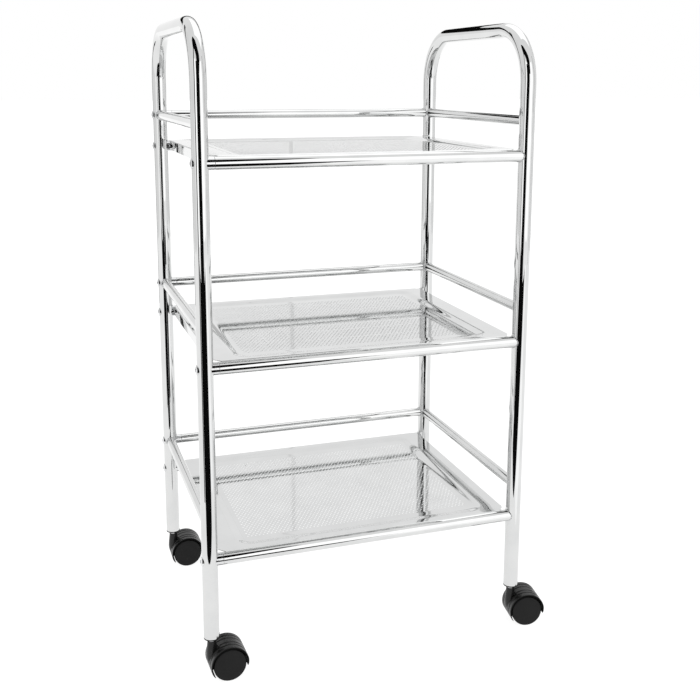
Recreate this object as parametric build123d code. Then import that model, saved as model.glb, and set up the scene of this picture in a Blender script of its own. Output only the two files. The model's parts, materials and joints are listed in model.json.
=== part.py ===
"""Rolling three-shelf salon trolley.

Two bent-tube side frames carry three pressed sheet decks on cross rails.
Each cross rail is coped and welded to the right frame. Its left end has a threaded plug,
held by a screw through the left leg.
Four twin-wheel swivel casters plug into sockets in the leg ends.

Millimetres. +Z up, +X towards the right-hand handle, -Y towards the open front.
The origin is on the floor, under the middle of the trolley's bounding box.
"""

import os
from math import asin, cos, radians, sin

from build123d import *

# ---------------------------------------------------------------- driving dimensions
LEG_SPACING_X = 400.0      # between leg axes, left to right
LEG_SPACING_Y = 300.0      # between leg axes, front to back
LEG_D = 19.0               # side frame tube, outside
LEG_WALL = 1.2
LEG_BOTTOM_Z = 53.5
HANDLE_AXIS_Z = 771.0      # axis of the level handle stretch
HANDLE_BEND_R = 65.0       # centreline radius of the two handle bends

LEVELS = {"bottom": 151.5, "middle": 385.5, "top": 619.5}   # shelf rail axis heights
GUARD_RISE = 42.0          # guard rail axis above the shelf rail axis
GUARD_D = 12.7
GUARD_WALL = 1.0
RAIL_D = 15.0
RAIL_WALL = 1.2

PLUG_COLLAR = 6.0          # visible collar between the left leg and a rail tube
PLUG_INSERT = 16.0         # part of the plug inside the tube
SCREW_D = 6.0
SCREW_REACH = 20.0         # shank beyond the leg's inner side
SCREW_HEAD_D = 11.5
SCREW_HEAD_RISE = 1.8      # dome height above the leg's outer side
SCREW_DOME_H = 1.4
SCREW_SOCKET_R = 2.3       # to the corners of the hexagon
SCREW_SOCKET_DEPTH = 1.6

DECK_T = 0.8
DECK_SIDE_GAP = 1.0        # between the deck's side flange and the leg
DECK_FLANGE = 13.0         # height of the turned-down side flange
DECK_FLANGE_SETBACK = 13.0 # flange stops this far short of the rail axes
DECK_CORNER_X = 9.0         # cut across each corner to clear the leg
DECK_CORNER_Y = 8.0
PAN_BORDER_X = 24.0        # flat border at each side of the pressed pan
PAN_BORDER_Y = 7.0         # flat border at front and back
PAN_RAMP = 12.0
PAN_DEPTH = 2.5
PAN_CORNER_R = 22.0

SOCKET_RIM = 1.2
SOCKET_DEPTH = 38.0
STEM_D = 8.0
STEM_TOP_GAP = 2.0

WHEEL_R = 20.0
WHEEL_OUTER_Y = 16.4       # outer face, from the caster's middle plane
WHEEL_INNER_Y = 4.8
WHEEL_EDGE_R = 1.6
WHEEL_BOSS_R = 5.5
WHEEL_RIM_INNER_R = 16.5
WHEEL_FACE_T = 3.0
CASTER_TRAIL = 18.5        # axle behind the swivel axis
AXLE_D = 5.0
AXLE_HALF = 12.9

HOOD_INNER_R = 21.4
HOOD_OUTER_R = 23.4
HOOD_RISE = 0.9            # outer arc's centre above the axle, so the tips are thinner
HOOD_HALF_WIDTH = 17.4
HOOD_WEB_HALF = 4.0
HOOD_HUB_R = 8.0
HOOD_FRONT_ANGLE = 212.0   # tip under the stem, counted from the trailing side over the top
HOOD_REAR_ANGLE = -3.0
HOOD_TIP_LEAN = 22.0
HOOD_GROOVE_Y = (4.6, 10.6)
HOOD_GROOVE_W = 1.2
HOOD_GROOVE_DEPTH = 0.8
HOOD_EDGE_R = 0.7
NECK_R = 5.4               # at the neck's top
NECK_FLARE_R = 6.8         # where the neck runs into the hood
NECK_TOP_Z = 49.0
NECK_FLARE_Z = 36.0
NECK_LOW_Z = 28.0          # the neck tapers away below this, down the hood's front
NECK_END_Z = 14.0
STEM_COLLAR_R = 4.9
STEM_COLLAR_H = 1.4

RUNNING_GAP = 0.05         # radial clearance of the turning fits
SEAT_GAP = 0.02            # radial clearance of the fixed fits
WELD_GAP = 0.05            # between coped tube ends and the legs

# rest headings of the casters' trailing arms, degrees about +Z from +X
CASTERS = {
    "front_left": (-1, -1, 2.0),
    "front_right": (1, -1, -9.0),
    "rear_left": (-1, 1, 0.0),
    "rear_right": (1, 1, -9.0),
}

# ---------------------------------------------------------------- derived dimensions
LEG_X = LEG_SPACING_X / 2
LEG_Y = LEG_SPACING_Y / 2
LEG_R = LEG_D / 2
RAIL_R = RAIL_D / 2
GUARD_R = GUARD_D / 2
RAIL_END_X = LEG_X - LEG_R - PLUG_COLLAR
DECK_HALF_X = LEG_X - LEG_R - DECK_SIDE_GAP
DECK_HALF_Y = LEG_Y
DECK_TOP = RAIL_R + DECK_T      # deck's upper face above the shelf rail axis
AXLE_Z = WHEEL_R

parts = {}


# ---------------------------------------------------------------- helpers
def rod(axis, radius, length, centre):
    """Solid cylinder of the given radius along X, Y or Z, centred on a point."""
    turn = {"X": (0, 90, 0), "Y": (90, 0, 0), "Z": (0, 0, 0)}[axis]
    return Pos(*centre) * Rot(*turn) * Cylinder(radius, length)


def leg_cutters(radius, z):
    """Short upright cylinders on the four leg axes, for coping what meets the legs."""
    height = 4 * LEG_D
    cutters = [
        rod("Z", radius, height, (sx * LEG_X, sy * LEG_Y, z)) for sx in (-1, 1) for sy in (-1, 1)
    ]
    return Compound(cutters)


def moved(shape, name):
    """Keeps a finished shape under its node name."""
    parts[name] = shape


# ---------------------------------------------------------------- side frames
def bent_tube(radius):
    """Inverted U of round bar: two legs, two bends and the level handle stretch."""
    route = FilletPolyline(
        (0, -LEG_Y, LEG_BOTTOM_Z),
        (0, -LEG_Y, HANDLE_AXIS_Z),
        (0, LEG_Y, HANDLE_AXIS_Z),
        (0, LEG_Y, LEG_BOTTOM_Z),
        radius=HANDLE_BEND_R,
    )
    start = Plane(origin=(0, -LEG_Y, LEG_BOTTOM_Z), z_dir=(0, 0, 1))
    return sweep(start * Circle(radius), path=route)


def screw_places():
    """Heights and depths of the screws in the left frame: two shelf rails and a guard a level."""
    places = []
    for z in LEVELS.values():
        places += [(-LEG_Y, z), (LEG_Y, z), (LEG_Y, z + GUARD_RISE)]
    return places


def side_frame(side):
    tube = bent_tube(LEG_R) - bent_tube(LEG_R - LEG_WALL)
    tube = Pos(side * LEG_X, 0, 0) * tube
    if side < 0:
        for y, z in screw_places():
            tube -= rod("X", SCREW_D / 2 + SEAT_GAP, LEG_D + 2, (-LEG_X, y, z))
    return tube


def side_guard(side, z):
    """Guard rail welded between the two legs of one side, both ends coped to the legs."""
    centre = (side * LEG_X, 0, z)
    bar = rod("Y", GUARD_R, LEG_SPACING_Y, centre)
    bar -= rod("Y", GUARD_R - GUARD_WALL, LEG_SPACING_Y, centre)
    return bar - leg_cutters(LEG_R + WELD_GAP, z)


# ---------------------------------------------------------------- cross rails
def cross_tube(radius, wall, y, z):
    """Straight tube from the left end plug to the right leg, where it is coped for the weld."""
    centre = ((LEG_X - RAIL_END_X) / 2, y, z)
    length = LEG_X + RAIL_END_X
    tube = rod("X", radius, length, centre) - rod("X", radius - wall, length, centre)
    return tube - rod("Z", LEG_R + WELD_GAP, 4 * LEG_D, (LEG_X, y, z))


def end_plug(radius, wall, y, z):
    """Threaded plug at a rail's left end: a collar coped to the leg and an insert in the tube."""
    collar = rod("X", radius, LEG_X - RAIL_END_X, (-(LEG_X + RAIL_END_X) / 2, y, z))
    insert_x = RAIL_END_X - PLUG_INSERT / 2
    insert = rod("X", radius - wall - SEAT_GAP, PLUG_INSERT, (-insert_x, y, z))
    plug = collar + insert
    plug -= rod("Z", LEG_R + WELD_GAP, 4 * LEG_D, (-LEG_X, y, z))
    plug -= rod("X", SCREW_D / 2 + SEAT_GAP, 4 * LEG_D, (-RAIL_END_X, y, z))
    return plug


def screw(y, z):
    """Dome-head screw with a hexagon socket, its head hollowed to sit round the left leg."""
    tip = LEG_X - LEG_R - SCREW_REACH
    seat = LEG_X + LEG_R / 2
    crown = LEG_X + LEG_R + SCREW_HEAD_RISE
    rim = crown - SCREW_DOME_H
    head_r = SCREW_HEAD_D / 2
    ball_r = (head_r**2 + SCREW_DOME_H**2) / (2 * SCREW_DOME_H)
    half_arc = asin(head_r / ball_r) / 2
    on_dome = (crown - ball_r + ball_r * cos(half_arc), ball_r * sin(half_arc))
    sides = Polyline((crown, 0), (seat, 0), (seat, head_r), (rim, head_r))
    dome = ThreePointArc((rim, head_r), on_dome, (crown, 0))
    head = revolve(make_face([*sides.edges(), dome]), Axis.X)
    head -= rod("Z", LEG_R + SEAT_GAP, LEG_D, (LEG_X, 0, 0))
    shank = rod("X", SCREW_D / 2, rim - tip, ((rim + tip) / 2, 0, 0))
    body = head + shank
    mouth = Plane(origin=(crown, 0, 0), z_dir=(-1, 0, 0))
    body -= extrude(mouth * RegularPolygon(SCREW_SOCKET_R, 6), SCREW_SOCKET_DEPTH)
    return Pos(0, y, z) * Rot(0, 0, 180) * body


# ---------------------------------------------------------------- shelf deck
def rounded_face(half_x, half_y, corner, z):
    return Pos(0, 0, z) * RectangleRounded(2 * half_x, 2 * half_y, corner)


def pan_solid(grow, top, bottom):
    """Filled shape of the pressed pan between two heights, grown sideways by the sheet."""
    mouth_x = DECK_HALF_X - PAN_BORDER_X + grow
    mouth_y = DECK_HALF_Y - PAN_BORDER_Y + grow
    mouth = rounded_face(mouth_x, mouth_y, PAN_CORNER_R + grow, top)
    corner = PAN_CORNER_R + grow - PAN_RAMP
    floor = rounded_face(mouth_x - PAN_RAMP, mouth_y - PAN_RAMP, corner, bottom)
    return loft([mouth, floor], ruled=True)


def deck(z):
    """Sheet deck: flat border resting on the rails, shallow pan, turned-down side flanges."""
    outline = Polygon(
        (DECK_HALF_X, DECK_HALF_Y - DECK_CORNER_Y),
        (DECK_HALF_X - DECK_CORNER_X, DECK_HALF_Y),
        (-DECK_HALF_X + DECK_CORNER_X, DECK_HALF_Y),
        (-DECK_HALF_X, DECK_HALF_Y - DECK_CORNER_Y),
        (-DECK_HALF_X, -DECK_HALF_Y + DECK_CORNER_Y),
        (-DECK_HALF_X + DECK_CORNER_X, -DECK_HALF_Y),
        (DECK_HALF_X - DECK_CORNER_X, -DECK_HALF_Y),
        (DECK_HALF_X, -DECK_HALF_Y + DECK_CORNER_Y),
        align=None,
    )
    sheet = Pos(0, 0, RAIL_R) * extrude(outline, DECK_T)
    sheet += pan_solid(0, RAIL_R, RAIL_R - PAN_DEPTH)
    sheet -= pan_solid(0, DECK_TOP, DECK_TOP - PAN_DEPTH)
    flange_y = 2 * (LEG_Y - DECK_FLANGE_SETBACK)
    for side in (-1, 1):
        centre = (side * (DECK_HALF_X - DECK_T / 2), 0, DECK_TOP - DECK_FLANGE / 2)
        sheet += Pos(*centre) * Box(DECK_T, flange_y, DECK_FLANGE)
    return Pos(0, 0, z) * sheet


# ---------------------------------------------------------------- casters
def leg_socket():
    """Plastic plug in the leg's end: a thin rim, an insert and a blind bore for the stem."""
    rim = rod("Z", LEG_R, SOCKET_RIM, (0, 0, LEG_BOTTOM_Z - SOCKET_RIM / 2))
    insert_r = LEG_R - LEG_WALL - SEAT_GAP
    insert = rod("Z", insert_r, SOCKET_DEPTH, (0, 0, LEG_BOTTOM_Z + SOCKET_DEPTH / 2))
    bore_depth = SOCKET_DEPTH - STEM_TOP_GAP
    bore_z = LEG_BOTTOM_Z - SOCKET_RIM
    bore_h = bore_depth + SOCKET_RIM
    return rim + insert - rod("Z", STEM_D / 2 + RUNNING_GAP, bore_h, (0, 0, bore_z + bore_h / 2))


def caster_stem():
    """Steel swivel pin, pressed into the hood's neck, with a collar above the neck."""
    low = NECK_FLARE_Z
    high = LEG_BOTTOM_Z + SOCKET_DEPTH - 2 * STEM_TOP_GAP
    pin = rod("Z", STEM_D / 2, high - low, (0, 0, (high + low) / 2))
    pin = chamfer(pin.edges().group_by(Axis.Z)[-1], 0.8)
    return pin + rod("Z", STEM_COLLAR_R, STEM_COLLAR_H, (0, 0, NECK_TOP_Z + STEM_COLLAR_H / 2))


def xz_extrude(sketch, y_low, y_high):
    """Turns an upright sketch, drawn in X and Z, into a solid between two Y values."""
    upright = Plane(origin=(0, y_low, 0), x_dir=(1, 0, 0), z_dir=(0, -1, 0))
    return extrude(upright * sketch, -(y_high - y_low))


def ray(angle, length):
    return (length * cos(radians(angle)), length * sin(radians(angle)))


def hood_section(inner_r):
    """Arc-shaped section of the hood about the axle, in X and Z, cut to two pointed tips."""
    outer = Pos(0, HOOD_RISE) * Circle(HOOD_OUTER_R)
    ring = outer - Circle(inner_r) if inner_r else outer
    reach = 3 * HOOD_OUTER_R
    front = ray(HOOD_FRONT_ANGLE, HOOD_INNER_R)
    rear = ray(HOOD_REAR_ANGLE, HOOD_INNER_R)
    front_far = ray(HOOD_FRONT_ANGLE + HOOD_TIP_LEAN, reach)
    rear_far = ray(HOOD_REAR_ANGLE - HOOD_TIP_LEAN, reach)
    below = Polygon((0, 0), front, front_far, (0, -reach), rear_far, rear, align=None)
    return ring - below


def caster_hood():
    """Fender over both wheels, middle web with the axle hub, and the neck for the stem."""
    shell = xz_extrude(hood_section(HOOD_INNER_R), -HOOD_HALF_WIDTH, HOOD_HALF_WIDTH)
    web = xz_extrude(hood_section(0), -HOOD_WEB_HALF, HOOD_WEB_HALF)
    hub = xz_extrude(Circle(HOOD_HUB_R), -HOOD_WEB_HALF, HOOD_WEB_HALF)
    hood = Pos(CASTER_TRAIL, 0, AXLE_Z) * (shell + web + hub)
    neck_side = Polyline(
        (0, NECK_END_Z),
        (NECK_R / 2, NECK_END_Z),
        (NECK_FLARE_R, NECK_LOW_Z),
        (NECK_FLARE_R, NECK_FLARE_Z),
        (NECK_R, NECK_TOP_Z),
        (0, NECK_TOP_Z),
        close=True,
    )
    neck = revolve(Plane.XZ * make_face(neck_side), Axis.Z)
    neck -= rod("Y", HOOD_INNER_R, 4 * NECK_FLARE_R, (CASTER_TRAIL, 0, AXLE_Z))
    hood += neck
    for y in HOOD_GROOVE_Y:
        for side in (-1, 1):
            groove = Circle(2 * HOOD_OUTER_R) - Pos(0, HOOD_RISE) * Circle(HOOD_OUTER_R - HOOD_GROOVE_DEPTH)
            low = side * y - HOOD_GROOVE_W / 2
            band = Pos(CASTER_TRAIL, 0, AXLE_Z) * xz_extrude(groove, low, low + HOOD_GROOVE_W)
            band -= rod("Z", NECK_FLARE_R, 4 * NECK_TOP_Z, (0, 0, 0))
            hood -= band
    hood -= rod("Z", STEM_D / 2 + SEAT_GAP, NECK_TOP_Z - NECK_FLARE_Z, (0, 0, (NECK_TOP_Z + NECK_FLARE_Z) / 2))
    hood -= rod("Y", AXLE_D / 2 + SEAT_GAP, 4 * HOOD_WEB_HALF, (CASTER_TRAIL, 0, AXLE_Z))
    return hood


def caster_axle():
    return rod("Y", AXLE_D / 2, 2 * AXLE_HALF, (CASTER_TRAIL, 0, AXLE_Z))


def caster_wheel(side):
    """One wheel: closed outer face, rim, boss with a blind bore, open towards the web."""
    middle = (WHEEL_OUTER_Y + WHEEL_INNER_Y) / 2
    width = WHEEL_OUTER_Y - WHEEL_INNER_Y
    disc = rod("Y", WHEEL_R, width, (0, side * middle, 0))
    outer_edge = disc.edges().sort_by(Axis.Y)[-1 if side > 0 else 0]
    disc = fillet(outer_edge, WHEEL_EDGE_R)
    recess_depth = width - WHEEL_FACE_T
    recess_y = side * (WHEEL_INNER_Y + recess_depth / 2)
    recess = rod("Y", WHEEL_RIM_INNER_R, recess_depth, (0, recess_y, 0))
    recess -= rod("Y", WHEEL_BOSS_R, recess_depth, (0, recess_y, 0))
    bore_end = AXLE_HALF + STEM_TOP_GAP / 4
    bore = rod("Y", AXLE_D / 2 + RUNNING_GAP, bore_end, (0, side * bore_end / 2, 0))
    return Pos(CASTER_TRAIL, 0, AXLE_Z) * (disc - recess - bore)


# ---------------------------------------------------------------- assembly
for side, hand in ((-1, "left"), (1, "right")):
    moved(side_frame(side), f"{hand}_side_frame")
moved(Compound([screw(y, z) for y, z in screw_places()]), "left_frame_screws")

guard_plugs = []
for level, z in LEVELS.items():
    guard_z = z + GUARD_RISE
    for side, hand in ((-1, "left"), (1, "right")):
        moved(side_guard(side, guard_z), f"{hand}_guard_rail_{level}")
    guard_plugs.append(end_plug(GUARD_R, GUARD_WALL, LEG_Y, guard_z))
    moved(cross_tube(GUARD_R, GUARD_WALL, LEG_Y, guard_z), f"back_guard_rail_{level}")
    moved(cross_tube(RAIL_R, RAIL_WALL, -LEG_Y, z), f"shelf_front_rail_{level}")
    moved(cross_tube(RAIL_R, RAIL_WALL, LEG_Y, z), f"shelf_back_rail_{level}")
    rail_plugs = [end_plug(RAIL_R, RAIL_WALL, sy * LEG_Y, z) for sy in (-1, 1)]
    moved(Compound(rail_plugs), f"shelf_rail_plugs_{level}")
    moved(deck(z), f"shelf_deck_{level}")
moved(Compound(guard_plugs), "back_guard_plugs")

for corner, (sx, sy, heading) in CASTERS.items():
    leg = Pos(sx * LEG_X, sy * LEG_Y, 0)
    swivelled = leg * Rot(0, 0, heading)
    moved(leg * leg_socket(), f"{corner}_leg_socket")
    moved(swivelled * caster_stem(), f"{corner}_caster_stem")
    moved(swivelled * caster_hood(), f"{corner}_caster_hood")
    moved(swivelled * caster_axle(), f"{corner}_caster_axle")
    moved(swivelled * caster_wheel(sy), f"{corner}_wheel_outer")
    moved(swivelled * caster_wheel(-sy), f"{corner}_wheel_inner")

# the frame is built about the middle of its legs; the origin is the middle of the whole box
whole = Compound(list(parts.values())).bounding_box()
to_origin = Pos(-(whole.min.X + whole.max.X) / 2, -(whole.min.Y + whole.max.Y) / 2, -whole.min.Z)

os.makedirs("parts", exist_ok=True)
for name, shape in parts.items():
    export_step(to_origin * shape, f"parts/{name}.step")
print(len(parts), "nodes; origin shift", to_origin.position)
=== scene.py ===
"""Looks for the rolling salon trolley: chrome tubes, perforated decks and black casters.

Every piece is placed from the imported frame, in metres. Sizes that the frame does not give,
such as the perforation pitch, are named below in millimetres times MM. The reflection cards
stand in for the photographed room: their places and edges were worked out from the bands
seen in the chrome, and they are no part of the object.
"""

import json
from math import atan2, cos, hypot, pi, radians, sin, sqrt, tau

import bpy
from mathutils import Matrix, Vector
from mathutils.geometry import tessellate_polygon


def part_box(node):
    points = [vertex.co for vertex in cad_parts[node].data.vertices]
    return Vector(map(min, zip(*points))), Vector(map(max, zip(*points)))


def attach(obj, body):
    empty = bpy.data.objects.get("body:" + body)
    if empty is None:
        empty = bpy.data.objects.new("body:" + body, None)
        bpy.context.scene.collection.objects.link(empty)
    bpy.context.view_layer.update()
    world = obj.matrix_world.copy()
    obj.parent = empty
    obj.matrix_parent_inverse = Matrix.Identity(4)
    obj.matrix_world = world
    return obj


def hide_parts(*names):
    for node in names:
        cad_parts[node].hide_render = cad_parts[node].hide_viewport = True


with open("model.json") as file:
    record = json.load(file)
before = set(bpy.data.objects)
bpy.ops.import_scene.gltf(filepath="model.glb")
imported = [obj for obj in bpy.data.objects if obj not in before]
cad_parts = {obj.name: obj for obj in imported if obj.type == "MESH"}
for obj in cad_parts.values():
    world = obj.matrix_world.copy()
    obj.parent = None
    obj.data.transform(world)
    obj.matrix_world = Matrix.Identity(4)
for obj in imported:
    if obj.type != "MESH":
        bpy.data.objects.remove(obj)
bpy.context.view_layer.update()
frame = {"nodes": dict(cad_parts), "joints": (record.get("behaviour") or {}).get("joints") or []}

MM = 0.001
LEVELS = ("bottom", "middle", "top")
CORNERS = ("front_left", "front_right", "rear_left", "rear_right")
ROOT = "frame"

# ---------------------------------------------------------------- sizes read from the frame


def middle(node):
    low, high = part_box(node)
    return (low + high) / 2


def extent(node):
    low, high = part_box(node)
    return high - low


LEG_R = extent("left_side_frame").x / 2
LEG_LEFT = middle("left_side_frame").x
LEG_RIGHT = middle("right_side_frame").x
LEG_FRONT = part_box("left_side_frame")[0].y + LEG_R
LEG_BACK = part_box("left_side_frame")[1].y - LEG_R
LEG_END_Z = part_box("left_side_frame")[0].z
HANDLE_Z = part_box("left_side_frame")[1].z - LEG_R
CENTRE_X = (LEG_LEFT + LEG_RIGHT) / 2
CENTRE_Y = (LEG_FRONT + LEG_BACK) / 2
RAIL_R = extent("shelf_front_rail_top").z / 2
GUARD_R = extent("back_guard_rail_top").z / 2
JOINTS = {joint["name"]: joint for joint in frame["joints"]}

# ---------------------------------------------------------------- sizes of the looks alone
BEND_R = 65 * MM
TUBE_WALL = 1.2 * MM
EDGE = 0.3 * MM              # small round on tube ends and collars
TUBE_SEGMENTS = 72
BEND_STEPS = 36
WELD_R = 0.9 * MM
WELD_FLATNESS = 0.9
PLUG_REACH = 16 * MM

SCREW_HEAD_R = 5.75 * MM
SCREW_DOME = 1.4 * MM
SCREW_RISE = 1.8 * MM
SCREW_SHANK_R = 3.0 * MM
SCREW_KEY_R = 2.3 * MM
SCREW_KEY_DEPTH = 1.3 * MM

SHEET = 0.8 * MM
CORNER_CUT_X = 9 * MM
CORNER_CUT_Y = 8 * MM
PAN_BORDER_X = 24 * MM
PAN_BORDER_Y = 7 * MM
PAN_RAMP = 14.5 * MM
PAN_DEPTH = 2.5 * MM
PAN_CORNER_R = 22 * MM
PAN_CORNER_STEPS = 14
RAMP_STEPS = 10
HOLE_R = 1.1 * MM
HOLE_PITCH = 5.0 * MM
HOLES_ACROSS = 59
HOLE_ROWS = 54
FIELD_FRONT = -115 * MM      # first row of holes, from the deck's middle
FLANGE_H = 13 * MM
FLANGE_HALF_Y = 137 * MM
FLANGE_BEND = 1.5 * MM


# ---------------------------------------------------------------- node helpers
NOISE_LOW = 0.3
NOISE_HIGH = 0.7


def new_material(name):
    material = bpy.data.materials.new(name)
    material.use_nodes = True
    tree = material.node_tree
    return material, tree, tree.nodes["Principled BSDF"]


def noise(tree, scale, detail, stretch=(1, 1, 1)):
    """Noise texture in object coordinates, drawn out along an axis by a small stretch value."""
    coords = tree.nodes.new("ShaderNodeTexCoord")
    mapping = tree.nodes.new("ShaderNodeMapping")
    mapping.inputs["Scale"].default_value = stretch
    texture = tree.nodes.new("ShaderNodeTexNoise")
    texture.inputs["Scale"].default_value = scale
    texture.inputs["Detail"].default_value = detail
    tree.links.new(coords.outputs["Object"], mapping.inputs["Vector"])
    tree.links.new(mapping.outputs["Vector"], texture.inputs["Vector"])
    return texture.outputs["Fac"]


def spread(tree, source, low, high):
    """Maps the middle of a noise texture's range onto low to high."""
    node = tree.nodes.new("ShaderNodeMapRange")
    node.inputs["From Min"].default_value = NOISE_LOW
    node.inputs["From Max"].default_value = NOISE_HIGH
    node.inputs["To Min"].default_value = low
    node.inputs["To Max"].default_value = high
    tree.links.new(source, node.inputs["Value"])
    return node.outputs["Result"]


def blend_colours(tree, factor, dark, light):
    node = tree.nodes.new("ShaderNodeMix")
    node.data_type = "RGBA"
    node.inputs["A"].default_value = (*dark, 1)
    node.inputs["B"].default_value = (*light, 1)
    tree.links.new(factor, node.inputs["Factor"])
    return node.outputs["Result"]


def bump(tree, height, distance):
    node = tree.nodes.new("ShaderNodeBump")
    node.inputs["Strength"].default_value = 1.0
    node.inputs["Distance"].default_value = distance
    tree.links.new(height, node.inputs["Height"])
    return node.outputs["Normal"]


# ---------------------------------------------------------------- materials
def chrome(name, dark, light, rough, wave, wave_scale, stretch=(1, 1, 1)):
    """Plated steel: near-mirror, with faint smears, wipe marks and a slow wave in the surface."""
    material, tree, shader = new_material(name)
    shader.inputs["Metallic"].default_value = 1.0
    shader.inputs["Specular Tint"].default_value = (1, 1, 1, 1)
    smear = noise(tree, 28, 4, stretch)
    tree.links.new(blend_colours(tree, spread(tree, smear, 0, 1), dark, light), shader.inputs["Base Color"])
    wipe = noise(tree, 240, 3, stretch)
    tree.links.new(spread(tree, wipe, rough * 0.6, rough * 1.5), shader.inputs["Roughness"])
    slow = noise(tree, wave_scale, 1)
    tree.links.new(bump(tree, slow, wave), shader.inputs["Normal"])
    return material


def moulded_plastic(name, dark, light, rough_low, rough_high, grain, grain_scale, shine):
    """Black moulded nylon with a fine spark-eroded grain and slightly worn, paler patches."""
    material, tree, shader = new_material(name)
    shader.inputs["Specular IOR Level"].default_value = shine
    patch = noise(tree, 60, 3)
    tree.links.new(blend_colours(tree, spread(tree, patch, 0, 1), dark, light), shader.inputs["Base Color"])
    tree.links.new(spread(tree, patch, rough_low, rough_high), shader.inputs["Roughness"])
    fine = noise(tree, grain_scale, 2)
    tree.links.new(bump(tree, fine, grain), shader.inputs["Normal"])
    return material


TUBE_CHROME = chrome("tube_chrome", (0.64, 0.645, 0.645), (0.69, 0.693, 0.69), 0.022, 0.012 * MM, 30)
RAIL_CHROME = chrome("rail_chrome", (0.64, 0.645, 0.645), (0.70, 0.703, 0.70), 0.025, 0.012 * MM, 40)
SHEET_CHROME = chrome("sheet_chrome", (0.66, 0.665, 0.665), (0.70, 0.705, 0.705), 0.045, 0.03 * MM, 14)
HOLE_CHROME = chrome("hole_wall_chrome", (0.82, 0.825, 0.825), (0.87, 0.875, 0.875), 0.12, 0.01 * MM, 300)
PLUG_CHROME = chrome("plug_chrome", (0.66, 0.665, 0.67), (0.72, 0.725, 0.73), 0.09, 0.02 * MM, 60)
SCREW_CHROME = chrome("screw_chrome", (0.64, 0.645, 0.65), (0.74, 0.745, 0.75), 0.10, 0.02 * MM, 90)
WELD_STEEL = chrome("weld_chrome", (0.55, 0.555, 0.56), (0.70, 0.705, 0.71), 0.16, 0.06 * MM, 400)
PIN_STEEL = chrome("pin_steel", (0.45, 0.45, 0.46), (0.60, 0.60, 0.61), 0.24, 0.02 * MM, 200, (8, 8, 1))
HOOD_PLASTIC = moulded_plastic(
    "hood_plastic", (0.006, 0.006, 0.006), (0.011, 0.011, 0.011), 0.24, 0.36, 0.03 * MM, 1400, 0.32
)
# Darker, matt copy of the hood plastic for the hood's rim and inner faces: painted shade, standing for the
# dark gap between hood and wheel.
HOOD_RIM_PAINTED_SHADE = moulded_plastic(
    "hood_rim_painted_shade", (0.002, 0.002, 0.002), (0.004, 0.004, 0.004), 0.55, 0.7, 0.05 * MM, 1200, 0.04
)
WHEEL_PLASTIC = moulded_plastic(
    "wheel_plastic", (0.006, 0.006, 0.006), (0.009, 0.009, 0.009), 0.40, 0.52, 0.04 * MM, 1800, 0.16
)
SOCKET_PLASTIC = moulded_plastic(
    "socket_plastic", (0.002, 0.002, 0.002), (0.004, 0.004, 0.004), 0.5, 0.65, 0.03 * MM, 1500, 0.05
)


# ---------------------------------------------------------------- mesh helpers
def make_piece(
    name, vertices, faces, material, body, replaced=(), sharp=35, second=None, second_faces=()
):
    """Links a finished mesh, shades it smooth up to an angle, and rides it on its body."""
    mesh = bpy.data.meshes.new(name)
    mesh.from_pydata([tuple(v) for v in vertices], [], [tuple(f) for f in faces])
    for i in second_faces:
        mesh.polygons[i].material_index = 1
    mesh.validate()
    mesh.shade_smooth()
    mesh.set_sharp_from_angle(angle=radians(sharp))
    mesh.materials.append(material)
    if second:
        mesh.materials.append(second)
    piece = bpy.data.objects.new(name, mesh)
    bpy.context.scene.collection.objects.link(piece)
    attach(piece, body)
    if replaced:
        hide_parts(*replaced)
    return piece


class Shape:
    """Collects vertices and faces of one piece, and which faces take its second material."""

    def __init__(self):
        self.vertices = []
        self.faces = []
        self.second_faces = []

    def loft(self, rings, closed=False):
        """Quads between rings of equal length; a ring of one point closes an end to a fan."""
        start = len(self.vertices)
        starts = []
        for ring in rings:
            starts.append(len(self.vertices) - start)
            self.vertices.extend(ring)
        pairs = list(zip(range(len(rings) - 1), range(1, len(rings))))
        if closed:
            pairs.append((len(rings) - 1, 0))
        for a, b in pairs:
            na, nb = len(rings[a]), len(rings[b])
            count = max(na, nb)
            for i in range(count):
                j = (i + 1) % count
                face = [starts[a] + i % na, starts[a] + j % na, starts[b] + j % nb, starts[b] + i % nb]
                unique = [v for k, v in enumerate(face) if v not in face[:k]]
                self.faces.append([start + v for v in unique])


def circle_points(count):
    return [(cos(tau * i / count), sin(tau * i / count)) for i in range(count)]


def lathe(shape, profile, place, count=48):
    """Turns (radius, height) points about a local Z axis and puts them in place."""
    rings = []
    for radius, height in profile:
        if radius < 1e-9:
            rings.append([place @ Vector((0, 0, height))])
        else:
            circle = circle_points(count)
            rings.append([place @ Vector((radius * c, radius * s, height)) for c, s in circle])
    shape.loft(rings)


def arc_points(centre, radius, start, end, steps):
    """Points of an arc, angles in degrees, both ends included."""
    points = []
    for i in range(steps + 1):
        a = radians(start + (end - start) * i / steps)
        points.append((centre[0] + radius * cos(a), centre[1] + radius * sin(a)))
    return points


# ---------------------------------------------------------------- side frames
def frame_route():
    """Stations along one bent tube: (y, z, direction), direction as an angle from +Y to +Z."""
    low = LEG_END_Z
    bend_z = HANDLE_Z - BEND_R
    route = [(LEG_FRONT, low, pi / 2)]
    for i in range(BEND_STEPS + 1):
        a = pi / 2 * i / BEND_STEPS
        route.append((LEG_FRONT + BEND_R - BEND_R * cos(a), bend_z + BEND_R * sin(a), pi / 2 - a))
    for i in range(BEND_STEPS + 1):
        a = pi / 2 * i / BEND_STEPS
        route.append((LEG_BACK - BEND_R + BEND_R * sin(a), bend_z + BEND_R * cos(a), -a))
    route.append((LEG_BACK, low, -pi / 2))
    return route


def route_ring(x, station, radius):
    y, z, heading = station
    side = (-sin(heading), cos(heading))
    ring = []
    for c, s in circle_points(TUBE_SEGMENTS):
        ring.append(Vector((x + radius * c, y + radius * s * side[0], z + radius * s * side[1])))
    return ring


def shifted(station, distance):
    y, z, heading = station
    return (y + distance * cos(heading), z + distance * sin(heading), heading)


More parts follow.
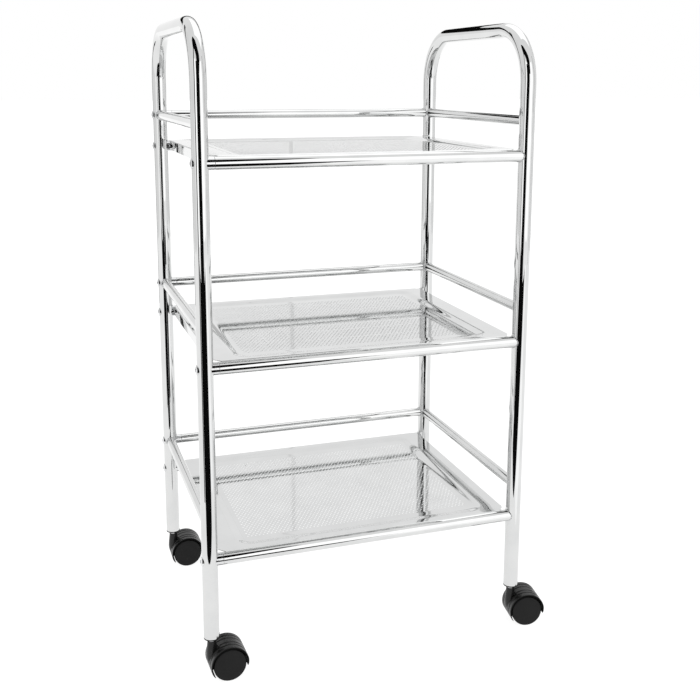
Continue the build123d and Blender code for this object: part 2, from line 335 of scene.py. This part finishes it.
def side_tube(hand, x):
    route = frame_route()
    first, last = route[0], route[-1]
    outer = [route_ring(x, first, LEG_R - EDGE), route_ring(x, shifted(first, EDGE), LEG_R)]
    outer += [route_ring(x, station, LEG_R) for station in route[1:-1]]
    outer += [route_ring(x, shifted(last, -EDGE), LEG_R), route_ring(x, last, LEG_R - EDGE)]
    inner = [route_ring(x, station, LEG_R - TUBE_WALL) for station in reversed(route)]
    shape = Shape()
    shape.loft(outer + inner, closed=True)
    make_piece(
        f"{hand}_side_tube", shape.vertices, shape.faces, TUBE_CHROME, ROOT,
        [f"{hand}_side_frame"],
    )


# ---------------------------------------------------------------- straight rails
def straight_tube(shape, start, end, radius, start_cope=0.0, end_cope=0.0):
    """Hollow tube between two points; a cope is the radius of the upright leg it meets at an end."""
    along = (end - start).normalized()
    across = Vector((0, 0, 1)).cross(along)

    def ring(at, r, sign, cope):
        points = []
        for c, s in circle_points(TUBE_SEGMENTS):
            back = -sign * sqrt(max(cope * cope - (r * c) ** 2, 0)) if cope else 0
            points.append(at + along * back + across * (r * c) + Vector((0, 0, r * s)))
        return points

    soft = EDGE
    outer = []
    if start_cope:
        outer.append(ring(start, radius, -1, start_cope))
    else:
        outer += [ring(start, radius - soft, -1, 0), ring(start + along * soft, radius, -1, 0)]
    if end_cope:
        outer.append(ring(end, radius, 1, end_cope))
    else:
        outer += [ring(end - along * soft, radius, 1, 0), ring(end, radius - soft, 1, 0)]
    bore = radius - TUBE_WALL
    inner = [ring(end, bore, 1, end_cope), ring(start, bore, -1, start_cope)]
    shape.loft(outer + inner, closed=True)


def weld_bead(shape, centre, along, radius):
    """Bead round a coped tube end, following the saddle where it meets the upright leg."""
    across = Vector((0, 0, 1)).cross(along)
    count = 2 * TUBE_SEGMENTS
    rings = []
    for i in range(count):
        a = tau * i / count
        y = radius * cos(a)
        spot = centre - along * sqrt(LEG_R**2 - y * y) + across * y + Vector((0, 0, radius * sin(a)))
        outward = (across * cos(a) + Vector((0, 0, sin(a)))).normalized()
        swell = WELD_R * (1 + 0.14 * sin(a * 17) + 0.08 * sin(a * 31 + 1))
        ring = []
        for c, s in circle_points(10):
            ring.append(spot + outward * swell * WELD_FLATNESS * c - along * swell * WELD_FLATNESS * s)
        rings.append(ring)
    shape.loft(rings, closed=True)


def side_guard(hand, x, level):
    node = f"{hand}_guard_rail_{level}"
    z = middle(node).z
    shape = Shape()
    start = Vector((x, LEG_FRONT, z))
    end = Vector((x, LEG_BACK, z))
    straight_tube(shape, start, end, GUARD_R, LEG_R, LEG_R)
    make_piece(
        f"{hand}_guard_tube_{level}", shape.vertices, shape.faces, RAIL_CHROME, ROOT,
        [node],
    )
    beads = Shape()
    weld_bead(beads, start, Vector((0, -1, 0)), GUARD_R)
    weld_bead(beads, end, Vector((0, 1, 0)), GUARD_R)
    make_piece(
        f"{hand}_guard_welds_{level}", beads.vertices, beads.faces, WELD_STEEL, ROOT,
        (),
    )


def cross_tube(node, name):
    low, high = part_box(node)
    centre = (low + high) / 2
    radius = (high.z - low.z) / 2
    shape = Shape()
    start = Vector((low.x, centre.y, centre.z))
    end = Vector((LEG_RIGHT, centre.y, centre.z))
    straight_tube(shape, start, end, radius, 0, LEG_R)
    make_piece(name, shape.vertices, shape.faces, RAIL_CHROME, ROOT, [node])
    bead = Shape()
    weld_bead(bead, end, Vector((1, 0, 0)), radius)
    make_piece(f"{name}_weld", bead.vertices, bead.faces, WELD_STEEL, ROOT, ())


def end_plug(shape, side, leg_x, seam_x, y, z, radius):
    """Collar with one coped end and one rounded end, and the insert that enters the tube."""
    count = TUBE_SEGMENTS

    def ring(x, r, cope=False):
        points = []
        for c, s in circle_points(count):
            at = leg_x - side * sqrt(LEG_R**2 - (r * c) ** 2) if cope else x
            points.append(Vector((at, y + r * c, z + r * s)))
        return points

    bore = SCREW_SHANK_R
    insert = radius - TUBE_WALL - EDGE / 10
    tip = seam_x - side * PLUG_REACH
    rings = [
        ring(0, bore, True),
        ring(0, radius, True),
        ring(seam_x + side * EDGE, radius),
        ring(seam_x, radius - EDGE),
        ring(seam_x, insert),
        ring(tip, insert),
        ring(tip, bore),
    ]
    shape.loft(rings, closed=True)


def rail_plugs(level):
    shape = Shape()
    for row in ("front", "back"):
        low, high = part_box(f"shelf_{row}_rail_{level}")
        centre = (low + high) / 2
        end_plug(shape, -1, LEG_LEFT, low.x, centre.y, centre.z, RAIL_R)
    make_piece(
        f"shelf_rail_collars_{level}", shape.vertices, shape.faces, PLUG_CHROME, ROOT,
        [f"shelf_rail_plugs_{level}"],
    )


def guard_plugs():
    shape = Shape()
    for level in LEVELS:
        low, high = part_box(f"back_guard_rail_{level}")
        centre = (low + high) / 2
        end_plug(shape, -1, LEG_LEFT, low.x, centre.y, centre.z, GUARD_R)
    make_piece(
        "back_guard_collars", shape.vertices, shape.faces, PLUG_CHROME, ROOT,
        ["back_guard_plugs"],
    )


# ---------------------------------------------------------------- screws
def hexagon_radius(angle):
    return SCREW_KEY_R * cos(pi / 6) / cos(angle % (pi / 3) - pi / 6)


def screw(shape, side, leg_x, y, z):
    """Dome-head socket screw seated round the leg, its shank reaching into the rail's plug."""
    count = 48
    ball = (SCREW_HEAD_R**2 + SCREW_DOME**2) / (2 * SCREW_DOME)
    crown = LEG_R + SCREW_RISE

    def dome_height(r):
        return crown - ball + sqrt(ball * ball - r * r)

    def ring(radius_of, height_of):
        points = []
        for c, s in circle_points(count):
            r = radius_of(atan2(s, c))
            points.append(Vector((leg_x + side * height_of(r, r * c), y + r * c, z + r * s)))
        return points

    def saddle(r, across):
        return sqrt(LEG_R**2 - across * across)

    tip = -LEG_R - 20 * MM
    rings = [
        [Vector((leg_x + side * tip, y, z))],
        ring(lambda a: SCREW_SHANK_R - EDGE, lambda r, q: tip),
        ring(lambda a: SCREW_SHANK_R, lambda r, q: tip + EDGE),
        ring(lambda a: SCREW_SHANK_R, saddle),
        ring(lambda a: SCREW_HEAD_R - EDGE / 2, saddle),
        ring(lambda a: SCREW_HEAD_R, lambda r, q: saddle(r, q) + EDGE / 2),
        ring(lambda a: SCREW_HEAD_R, lambda r, q: dome_height(r) - EDGE / 2),
    ]
    for share in (0.985, 0.95, 0.88, 0.8, 0.7, 0.6, 0.52):
        rings.append(ring(lambda a, k=share: SCREW_HEAD_R * k, lambda r, q: dome_height(r)))
    rings.append(ring(lambda a: hexagon_radius(a) * 1.06, lambda r, q: dome_height(r)))
    rings.append(ring(hexagon_radius, lambda r, q: dome_height(r) - EDGE / 2))
    rings.append(ring(hexagon_radius, lambda r, q: crown - SCREW_KEY_DEPTH))
    rings.append([Vector((leg_x + side * (crown - SCREW_KEY_DEPTH - EDGE), y, z))])
    shape.loft(rings)


def frame_screws():
    shape = Shape()
    for level in LEVELS:
        rail_z = middle(f"shelf_front_rail_{level}").z
        guard_z = middle(f"back_guard_rail_{level}").z
        screw(shape, -1, LEG_LEFT, LEG_FRONT, rail_z)
        screw(shape, -1, LEG_LEFT, LEG_BACK, rail_z)
        screw(shape, -1, LEG_LEFT, LEG_BACK, guard_z)
    make_piece(
        "left_dome_screws", shape.vertices, shape.faces, SCREW_CHROME, ROOT,
        ["left_frame_screws"],
    )


# ---------------------------------------------------------------- shelf decks
def pan_ring(half_x, half_y, inset):
    """Points round a rounded rectangle, inset from the pan's mouth, the same number on every ring."""
    x, y = half_x - PAN_BORDER_X - inset, half_y - PAN_BORDER_Y - inset
    r = PAN_CORNER_R - inset
    points = []
    for sx, sy, start in ((1, 1, 0), (-1, 1, 90), (-1, -1, 180), (1, -1, 270)):
        points += arc_points((sx * (x - r), sy * (y - r)), r, start, start + 90, PAN_CORNER_STEPS)
    return points


def pan_depth(inset):
    """Depth below the border of a point that lies inset from the pan's mouth: a smooth S."""
    share = min(inset / PAN_RAMP, 1)
    return PAN_DEPTH * share * share * (3 - 2 * share)


def hole_centres():
    """Staggered hole centres, row by row from the front."""
    row_step = HOLE_PITCH * sqrt(3) / 2
    first_x = -(HOLES_ACROSS - 0.5) * HOLE_PITCH / 2 + HOLE_PITCH / 4
    centres = []
    for j in range(HOLE_ROWS):
        shift = HOLE_PITCH / 4 * (1 if j % 2 else -1)
        for i in range(HOLES_ACROSS):
            centres.append((first_x + shift + i * HOLE_PITCH, FIELD_FRONT + j * row_step))
    return centres


def perforated_field(shape, top, bottom):
    """Sheet full of holes, each in a six-sided cell; returns the field's edge as two vertex loops."""
    reach = HOLE_PITCH / sqrt(3)
    cell = [(reach * cos(radians(30 + 60 * k)), reach * sin(radians(30 + 60 * k))) for k in range(6)]
    rim_of = {}
    edges = {}

    def rim(x, y, z):
        key = (round(x / MM, 2), round(y / MM, 2), z)
        if key not in rim_of:
            rim_of[key] = len(shape.vertices)
            shape.vertices.append(Vector((x, y, z)))
        return rim_of[key]

    for x, y in hole_centres():
        corners, rounds = [], []
        for z in (top, bottom):
            corners.append([rim(x + cx, y + cy, z) for cx, cy in cell])
            first = len(shape.vertices)
            for k in range(12):
                a = radians(30 + 30 * k)
                shape.vertices.append(Vector((x + HOLE_R * cos(a), y + HOLE_R * sin(a), z)))
            rounds.append(range(first, first + 12))
        for k in range(6):
            n = (k + 1) % 6
            a, b, c = 2 * k, 2 * k + 1, (2 * k + 2) % 12
            upper, lower = rounds
            shape.faces.append([corners[0][k], corners[0][n], upper[c], upper[b], upper[a]])
            shape.faces.append([corners[1][n], corners[1][k], lower[a], lower[b], lower[c]])
            edges[corners[0][k]] = edges.get(corners[0][k], []) + [corners[0][n]]
        for k in range(12):
            n = (k + 1) % 12
            shape.second_faces.append(len(shape.faces))
            shape.faces.append([rounds[0][k], rounds[0][n], rounds[1][n], rounds[1][k]])
    directed = {(a, b) for a, ends in edges.items() for b in ends}
    border = {a: b for a, b in directed if (b, a) not in directed}
    loop = [min(border)]
    while border[loop[-1]] != loop[0]:
        loop.append(border[loop[-1]])
    twin = {}
    for (x, y, z), number in rim_of.items():
        twin[(x, y, z == top)] = number
    under = []
    for number in loop:
        spot = shape.vertices[number]
        under.append(twin[(round(spot.x / MM, 2), round(spot.y / MM, 2), False)])
    return loop, under


def fill_between(shape, outer, inner, flip):
    """Triangles of the flat sheet between two loops of vertex numbers, facing up or down."""
    loops = [[shape.vertices[i].copy() for i in loop] for loop in (outer, inner)]
    for loop in loops:
        for point in loop:
            point.z = 0
    numbers = list(outer) + list(inner)
    for a, b, c in tessellate_polygon(loops):
        p, q, r = (shape.vertices[numbers[i]] for i in (a, b, c))
        up = (q - p).cross(r - p).z > 0
        face = [numbers[a], numbers[b], numbers[c]]
        shape.faces.append(face if up != flip else face[::-1])


def add_loop(shape, points, z):
    first = len(shape.vertices)
    shape.vertices.extend(Vector((x, y, z)) for x, y in points)
    return list(range(first, first + len(points)))


def stitch(shape, lower, upper, flip=False):
    """Quads between two loops of the same length."""
    count = len(lower)
    for i in range(count):
        j = (i + 1) % count
        face = [lower[i], lower[j], upper[j], upper[i]]
        shape.faces.append(face[::-1] if flip else face)


def side_flange(shape, side, half_x):
    """Turned-down side of the deck: a bend and a straight skirt with eased ends."""
    bend = FLANGE_BEND
    centre = (half_x - bend, -bend)
    outside = arc_points(centre, bend, 90, 0, 8) + [(half_x, -FLANGE_H + EDGE), (half_x - EDGE, -FLANGE_H)]
    thin = half_x - SHEET
    inside = [(thin, -FLANGE_H), (thin, -bend)] + arc_points(centre, bend - SHEET, 0, 90, 6)[1:]
    section = outside + inside
    rings = []
    for y, ease in ((-1, 1), (-1, 0), (1, 0), (1, 1)):
        at = y * (FLANGE_HALF_Y - (0 if ease else EDGE))
        rings.append([Vector((side * x, at, z)) for x, z in section])
    if side > 0:
        rings.reverse()
    start = len(shape.vertices)
    shape.loft(rings)
    count = len(section)
    shape.faces.append([start + i for i in range(count)][::-1])
    last = start + count * (len(rings) - 1)
    shape.faces.append([last + i for i in range(count)])


def deck_shape(half_x, half_y):
    """One perforated deck about its own middle, its upper face at height 0."""
    shape = Shape()
    loop, under = perforated_field(shape, -PAN_DEPTH, -PAN_DEPTH - SHEET)
    edge_x = half_x - FLANGE_BEND
    cut_y = half_y - CORNER_CUT_Y
    outline = []
    for sx, sy in ((1, 1), (-1, 1), (-1, -1), (1, -1)):
        pair = [(sx * edge_x, sy * cut_y), (sx * (half_x - CORNER_CUT_X), sy * half_y)]
        outline += pair if sx * sy > 0 else pair[::-1]
    for offset, inner_loop, flip in ((0, loop, False), (-SHEET, under, True)):
        rings = []
        for i in range(RAMP_STEPS + 1):
            inset = PAN_RAMP * (1 - i / RAMP_STEPS)
            rings.append(add_loop(shape, pan_ring(half_x, half_y, inset), offset - pan_depth(inset)))
        fill_between(shape, rings[0], inner_loop, flip)
        for inner, outer in zip(rings, rings[1:]):
            stitch(shape, outer, inner, flip)
        border = add_loop(shape, outline, offset)
        fill_between(shape, border, rings[-1], flip)
        if offset == 0:
            upper_border = border
        else:
            stitch(shape, border, upper_border)
    for side in (-1, 1):
        side_flange(shape, side, half_x)
    return shape


def decks():
    size = extent("shelf_deck_top")
    shape = deck_shape(size.x / 2, size.y / 2)
    for level in LEVELS:
        node = f"shelf_deck_{level}"
        low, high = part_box(node)
        place = Vector((*((low + high) / 2).xy, high.z))
        vertices = [place + v for v in shape.vertices]
        make_piece(
            f"perforated_deck_{level}", vertices, shape.faces, SHEET_CHROME, ROOT, [node],
            sharp=30, second=HOLE_CHROME, second_faces=shape.second_faces,
        )


# ---------------------------------------------------------------- casters
WHEEL_R = 20 * MM
WHEEL_FACE_Y = 16.4 * MM      # outer face of a wheel from the caster's middle plane
WHEEL_BACK_Y = 4.8 * MM
HOOD_IN_R = 21.4 * MM
HOOD_OUT_R = 23.4 * MM
HOOD_RISE = 0.9 * MM
HOOD_HALF = 17.4 * MM
HOOD_TIPS = (-9, 212)         # degrees from the trailing side over the top
HOOD_LEAN = 5.0               # how much sooner the outer skin ends at each tip
HOOD_GROOVES = (4.6 * MM, 10.6 * MM)
HOOD_GROOVE_W = 1.2 * MM
HOOD_GROOVE_DEEP = 0.8 * MM
HOOD_EDGE = 0.7 * MM
HOOD_STEPS = 72
HOOD_TIP_SHARE = 0.72         # wall left at a tip, as a share of the full wall
HOOD_TIP_TAPER = 60           # degrees over which one whole wall would be gained
NECK_SEGMENTS = 56
WEB_HALF = 4 * MM
HUB_R = 8 * MM
NECK_PROFILE = (              # (height, radius) down the neck and the hood's front
    (49.0, 4.9), (48.6, 5.3), (46, 5.5), (42, 5.9), (38, 6.4), (34, 6.8), (30, 6.9),
    (27, 6.8), (24, 6.4), (21, 5.6), (18, 4.4), (15.5, 3.0),
)


def caster_place(corner):
    """Frame of a caster at rest, its trail and its axle's height.

    The origin is on the floor under the stem, +X trails and the axle lies along Y.
    """
    pivot = Vector(JOINTS[f"{corner}_swivel"]["pos_m"])
    axle = Vector(JOINTS[f"{corner}_outer_wheel_spin"]["pos_m"])
    arm = axle - pivot
    heading = atan2(arm.y, arm.x)
    place = Matrix.Translation((pivot.x, pivot.y, 0)) @ Matrix.Rotation(heading, 4, "Z")
    return place, hypot(arm.x, arm.y), axle.z


def hood_section():
    """Half-section points across the hood, (y, how far out from inner 0 to outer 1, groove depth)."""
    points = []
    width = HOOD_HALF

    def groove_at(y):
        deep = 0
        for centre in HOOD_GROOVES:
            gap = abs(abs(y) - centre) / (HOOD_GROOVE_W / 2)
            if gap < 1.6:
                deep = max(deep, HOOD_GROOVE_DEEP * min(1, max(0, (1.6 - gap) / 0.8)))
        return deep

    steps = 96
    for i in range(steps + 1):
        y = -width + HOOD_EDGE + (2 * width - 2 * HOOD_EDGE) * i / steps
        points.append((y, 1, -groove_at(y)))
    for i in range(1, 6):
        a = radians(90 - 18 * i)
        points.append((width - HOOD_EDGE + HOOD_EDGE * cos(a), 1, -HOOD_EDGE * (1 - sin(a))))
    points += [(width, 0, EDGE), (width - EDGE, 0, 0), (-width + EDGE, 0, 0), (-width, 0, EDGE)]
    for i in range(5, 0, -1):
        a = radians(90 - 18 * i)
        points.append((-width + HOOD_EDGE - HOOD_EDGE * cos(a), 1, -HOOD_EDGE * (1 - sin(a))))
    return points


def hood_radius(angle):
    """Outer radius about the axle of the hood's skin, whose own centre sits a little higher."""
    rise = HOOD_RISE * sin(radians(angle))
    across = HOOD_RISE * cos(radians(angle))
    return rise + sqrt(HOOD_OUT_R**2 - across**2)


def hood_shell(shape, place):
    section = hood_section()
    rings = []
    for i in range(HOOD_STEPS + 1):
        share = i / HOOD_STEPS
        ring = []
        for y, out, extra in section:
            first, last = HOOD_TIPS
            if out:
                first, last = first + HOOD_LEAN, last - HOOD_LEAN
            angle = first + (last - first) * share
            tip = min(share, 1 - share) * (HOOD_TIPS[1] - HOOD_TIPS[0])
            thin = min(1, HOOD_TIP_SHARE + tip / HOOD_TIP_TAPER)
            base = HOOD_IN_R + (hood_radius(angle) - HOOD_IN_R) * thin if out else HOOD_IN_R
            r = base + (extra * thin if out else extra)
            ring.append(place @ Vector((r * cos(radians(angle)), y, r * sin(radians(angle)))))
        rings.append(ring)
    rings.reverse()
    start, first_face = len(shape.vertices), len(shape.faces)
    shape.loft(rings)
    count = len(section)
    shape.faces.append([start + i for i in range(count)][::-1])
    last = start + count * HOOD_STEPS
    shape.faces.append([last + i for i in range(count)])
    # The rim and inner faces take the darker painted-shade copy of the plastic, standing for the shade in
    # the gap by the wheel.
    inner = [i for i, (y, out, extra) in enumerate(section) if not out]
    sides = range(inner[0] - 1, inner[-1] + 1)
    shape.second_faces += [first_face + count * step + i for step in range(HOOD_STEPS) for i in sides]


def hood_web(shape, place):
    """Plate between the wheels that joins the shell to the axle's hub."""
    first, last = HOOD_TIPS[0] + 12, HOOD_TIPS[1] - 12
    outline = arc_points((0, 0), HOOD_IN_R + EDGE, first, last, 40)
    outline += arc_points((0, 0), HUB_R, last, first + 360, 20)
    half = WEB_HALF
    rings = []
    for y, inset in ((-half, EDGE), (-half + EDGE, 0), (half - EDGE, 0), (half, EDGE)):
        scale = 1 - inset / HUB_R / 2
        rings.append([place @ Vector((x * scale, y, z * scale)) for x, z in outline])
    start = len(shape.vertices)
    shape.loft(rings)
    count = len(outline)
    shape.faces.append([start + i for i in range(count)][::-1])
    shape.faces.append([start + 3 * count + i for i in range(count)])


def hood_neck(shape, place, trail, axle_z):
    """Neck under the leg, running down the hood's front and sinking into its wall."""
    buried = (HOOD_IN_R + HOOD_OUT_R) / 2
    rings = []
    for height, radius in NECK_PROFILE:
        z = height * MM
        wall = trail - sqrt(max(buried**2 - (z - axle_z) ** 2, 0))
        ring = []
        for c, s in circle_points(NECK_SEGMENTS):
            x = min(radius * MM * c, wall)
            ring.append(place @ Vector((x, radius * MM * s, z)))
        rings.append(ring)
    rings.reverse()
    start = len(shape.vertices)
    shape.loft(rings)
    shape.faces.append([start + i for i in range(NECK_SEGMENTS)][::-1])
    last = start + NECK_SEGMENTS * (len(rings) - 1)
    shape.faces.append([last + i for i in range(NECK_SEGMENTS)])


def caster_hood(corner):
    place, trail, axle_z = caster_place(corner)
    about_axle = place @ Matrix.Translation((trail, 0, axle_z))
    shape = Shape()
    hood_shell(shape, about_axle)
    hood_web(shape, about_axle)
    hood_neck(shape, place, trail, axle_z)
    make_piece(
        f"{corner}_hood_shell", shape.vertices, shape.faces, HOOD_PLASTIC, f"{corner}_caster",
        [f"{corner}_caster_hood"],
        sharp=40, second=HOOD_RIM_PAINTED_SHADE, second_faces=shape.second_faces,
    )


def wheel_profile():
    """(radius, height) of one wheel from its back to its face, height along the axle outwards."""
    back, face = WHEEL_BACK_Y, WHEEL_FACE_Y
    bore, boss, rim = 2.56 * MM, 5.5 * MM, 16.5 * MM
    depth = face - 3 * MM
    r = WHEEL_R
    profile = [(0, depth - MM), (bore, depth - MM), (bore, back + EDGE), (bore + EDGE, back), (boss, back)]
    profile += [(boss, depth), (rim, depth), (rim, back + EDGE), (rim + EDGE, back), (r - 0.8 * MM, back)]
    profile += arc_points((r - 0.8 * MM, back + 0.8 * MM), 0.8 * MM, -90, 0, 5)[1:]
    tread = r
    half, floor, deep = 0.35 * MM, 0.1 * MM, 0.25 * MM
    for at in (0.34, 0.66):
        y = back + (face - back) * at
        profile += [(tread, y - half), (tread - deep, y - floor)]
        profile += [(tread - deep, y + floor), (tread, y + half)]
    profile += arc_points((r - 1.2 * MM, face - 1.6 * MM), 1.2 * MM, 0, 68, 7)
    profile += [(r - 1.5 * MM, face - 0.42 * MM), (r - 2.2 * MM, face - 0.30 * MM)]
    for i in range(1, 9):
        share = 1 - i / 8
        radius = (r - 2.6 * MM) * share
        profile.append((radius, face - 0.30 * MM * share**2))
    return profile


def caster_wheel(corner, which):
    place, trail, axle_z = caster_place(corner)
    joint = JOINTS[f"{corner}_{which}_wheel_spin"]
    node = f"{corner}_wheel_{which}"
    hub = place @ Matrix.Translation((trail, 0, axle_z))
    local = hub.inverted() @ middle(node)
    turn = Matrix.Rotation(radians(-90 if local.y > 0 else 90), 4, "X")
    shape = Shape()
    lathe(shape, wheel_profile(), hub @ turn, 96)
    make_piece(
        f"{node}_disc", shape.vertices, shape.faces, WHEEL_PLASTIC, joint["child"],
        [node], sharp=30,
    )


def small_caster_parts(corner):
    """The socket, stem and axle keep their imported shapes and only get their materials."""
    for node, material in (
        (f"{corner}_leg_socket", SOCKET_PLASTIC),
        (f"{corner}_caster_stem", PIN_STEEL),
        (f"{corner}_caster_axle", PIN_STEEL),
    ):
        mesh = frame["nodes"][node].data
        mesh.materials.clear()
        mesh.materials.append(material)


# ---------------------------------------------------------------- make the object
frame_screws()
for hand, leg_x in (("left", LEG_LEFT), ("right", LEG_RIGHT)):
    side_tube(hand, leg_x)
    for level in LEVELS:
        side_guard(hand, leg_x, level)
for level in LEVELS:
    cross_tube(f"back_guard_rail_{level}", f"back_guard_tube_{level}")
    cross_tube(f"shelf_front_rail_{level}", f"front_rail_tube_{level}")
    cross_tube(f"shelf_back_rail_{level}", f"back_rail_tube_{level}")
    rail_plugs(level)
guard_plugs()
decks()
for corner in CORNERS:
    caster_hood(corner)
    small_caster_parts(corner)
    for which in ("outer", "inner"):
        caster_wheel(corner, which)

# ---------------------------------------------------------------- camera
FOCAL = 985.4 / 700           # focal length over frame width
SENSOR = 36.0                 # millimetres
CAMERA_AT = Vector((CENTRE_X - 391.7 * MM, CENTRE_Y - 1224.8 * MM, LEG_END_Z + 658.65 * MM))
CAMERA_YAW = 18.772           # degrees from +Y towards +X
CAMERA_PITCH = 10.569         # degrees below level
CAMERA_ROLL = 0.191           # degrees
CAMERA_SHIFT_Y = -0.126       # smaller than the best fit's -0.17, because other views keep it


def aim_camera():
    data = bpy.data.cameras.new("camera")
    data.sensor_width = SENSOR
    data.lens = FOCAL * SENSOR
    data.shift_y = CAMERA_SHIFT_Y
    camera = bpy.data.objects.new("camera", data)
    bpy.context.scene.collection.objects.link(camera)
    yaw, pitch = radians(CAMERA_YAW), radians(CAMERA_PITCH)
    forward = Vector((sin(yaw) * cos(pitch), cos(yaw) * cos(pitch), -sin(pitch)))
    right = Vector((cos(yaw), -sin(yaw), 0))
    up = right.cross(forward)
    roll = radians(CAMERA_ROLL)
    right, up = right * cos(roll) + up * sin(roll), up * cos(roll) - right * sin(roll)
    turn = Matrix((right, up, -forward)).transposed().to_4x4()
    camera.matrix_world = Matrix.Translation(CAMERA_AT) @ turn
    bpy.context.scene.camera = camera


# ---------------------------------------------------------------- studio
def paper_material(name, colour, glow):
    """Matte paper that also glows a little, so the floor stays white under the trolley."""
    material, tree, shader = new_material(name)
    shader.inputs["Base Color"].default_value = (*colour, 1)
    shader.inputs["Roughness"].default_value = 0.9
    shader.inputs["Specular IOR Level"].default_value = 0.0
    shader.inputs["Emission Color"].default_value = (1, 1, 1, 1)
    shader.inputs["Emission Strength"].default_value = glow
    return material


def card_material(name, light):
    """Reflection card of one even brightness."""
    material, tree, shader = new_material(name)
    shader.inputs["Base Color"].default_value = (0, 0, 0, 1)
    shader.inputs["Specular IOR Level"].default_value = 0.0
    shader.inputs["Emission Color"].default_value = (1, 1, 1, 1)
    shader.inputs["Emission Strength"].default_value = light
    return material


def stage_mesh(name, points, faces, material, seen_by_camera=False):
    """A floor or a reflection card; a card is seen only in reflections."""
    mesh = bpy.data.meshes.new(name)
    mesh.from_pydata([tuple(p) for p in points], [], faces)
    mesh.materials.append(material)
    card = bpy.data.objects.new(name, mesh)
    bpy.context.scene.collection.objects.link(card)
    if not seen_by_camera:
        card.visible_camera = False
        card.visible_diffuse = False
        card.visible_shadow = False
        card.visible_transmission = False


def upright_card(name, azimuth, distance, width, low, high, material):
    """Upright rectangle facing the trolley, in metres; azimuth in degrees from -Y towards +X."""
    a = radians(azimuth)
    centre = Vector((CENTRE_X + distance * sin(a), CENTRE_Y - distance * cos(a), 0))
    across = Vector((cos(a), sin(a), 0)) * (width / 2)
    points = [centre - across, centre + across, centre + across, centre - across]
    for point, z in zip(points, (low, low, high, high)):
        point.z = z
    stage_mesh(name, points, [[0, 1, 2, 3]], material)


def flat_card(name, edge, height, material):
    """Level card; its edge and height in millimetres, from the middle of the legs and the floor."""
    points = [Vector((CENTRE_X + x * MM, CENTRE_Y + y * MM, height * MM)) for x, y in edge]
    stage_mesh(name, points, [list(range(len(points)))], material)


def studio():
    """White floor and world, and the cards that give the chrome its bands."""
    scene = bpy.context.scene
    scene.view_settings.view_transform = "Standard"
    world = bpy.data.worlds.new("studio_world")
    scene.world = world
    world.use_nodes = True
    background = world.node_tree.nodes["Background"]
    background.inputs["Color"].default_value = (1, 1, 1, 1)
    background.inputs["Strength"].default_value = 1.0
    half = 30.0
    square = [(-half, -half, 0), (half, -half, 0), (half, half, 0), (-half, half, 0)]
    paper = paper_material("floor_paper", (0.25, 0.25, 0.25), 0.9)
    stage_mesh("floor", square, [[0, 1, 2, 3]], paper, True)

    black = card_material("black_card", 0.004)
    band = card_material("dim_band", 0.55)
    seam = card_material("backdrop_seam", 0.82)
    grey = card_material("side_wall", 0.95)
    bright = card_material("bright_floor", 1.35)
    white = card_material("softbox", 1.55)
    dark_edge = [
        (-440, -380), (-280, -440), (-125, -475), (14, -520), (110, -640),
        (1000, -2800), (-2500, -2040), (-1000, -780),
    ]
    flat_card("dark_floor_card", dark_edge, 2, black)
    bright_edge = [(125, -620), (330, -420), (900, -700), (1900, -2400), (1040, -2860)]
    flat_card("bright_floor_card", bright_edge, 1, bright)
    boom_edge = [
        (-495, -150), (-707, -200), (-850, -411), (-640, -600), (-520, -900), (-560, -1100),
        (-655, -1510), (-920, -2087), (-1500, -3000), (350, -3000), (350, -1100), (250, -850),
        (100, -700), (0, -600), (-100, -480), (-200, -350),
    ]
    flat_card("dark_card_overhead", boom_edge, 1600, black)
    flat_card("softbox_overhead", [(-100, -200), (1900, -200), (1900, 1700), (-100, 1700)], 2200, white)
    upright_card("dark_card_at_camera", -18.7, 1.25, 0.84, 0, 1.5, black)
    upright_card("stand_left", -57.1, 0.774, 0.10, 0, 1.6, black)
    upright_card("bar_behind", 180, 0.6, 0.98, 0.94, 1.09, black)
    upright_card("stand_behind_left", -140, 2.0, 0.26, 0, 1.9, black)
    upright_card("stand_behind_right", 128, 3.0, 0.34, 0, 2.0, black)
    upright_card("seam_behind", 165.8, 2.716, 0.014, 0, 2.8, seam)
    upright_card("band_behind", 150, 5.0, 5.0, 1.05, 1.2, band)
    upright_card("softbox_right", 22, 3.0, 2.1, 0.1, 2.8, white)
    upright_card("softbox_left", -42, 3.0, 1.2, 0.1, 2.8, white)
    upright_card("left_wall", -105, 3.2, 3.4, 0, 3.0, grey)
    upright_card("right_wall", 100, 3.2, 3.0, 0, 3.0, grey)
    upright_card("right_edge_card", 66, 3.0, 0.16, 0, 2.8, black)


aim_camera()
studio()
